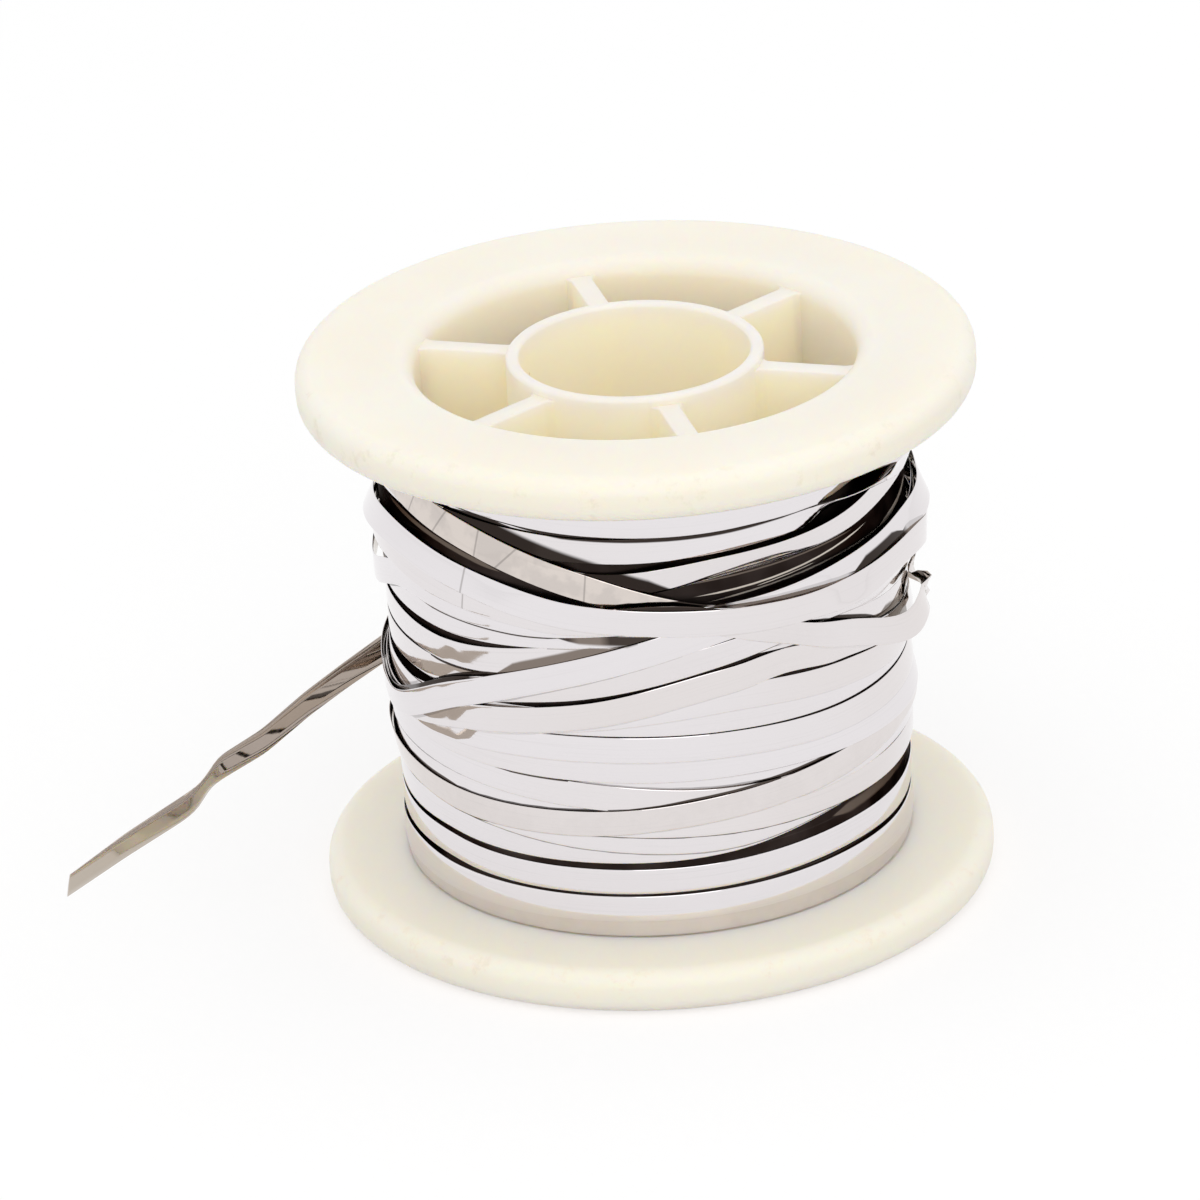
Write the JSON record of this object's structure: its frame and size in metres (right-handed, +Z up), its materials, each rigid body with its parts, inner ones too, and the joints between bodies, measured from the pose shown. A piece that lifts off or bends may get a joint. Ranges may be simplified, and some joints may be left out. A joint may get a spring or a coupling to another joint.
{
  "type": "spool of nichrome ribbon",
  "caption": "Flat nichrome resistance ribbon wound on a moulded plastic spool with a ribbed open hub, its outer turns crossing loosely and its free end sticking out.",
  "frame": {"origin": "centre of the spindle bore at the spool's lower end, on the floor", "axes": "+Z up along the spindle bore, +X to the right and -Y towards the viewer of the picture"},
  "size_m": [0.0835, 0.0611, 0.051],
  "materials": {
    "spool_plastic": "satin moulded cream plastic",
    "ribbon_bright": "bright rolled nichrome strip",
    "ribbon_inner": "shaded inner layers of the nichrome strip"
  },
  "bodies": {
    "root": {"spool": "spool_plastic", "wound_ribbon": "ribbon_inner", "ribbon_turns": "ribbon_bright", "ribbon_tail": "ribbon_bright"}
  },
  "joints": []
}
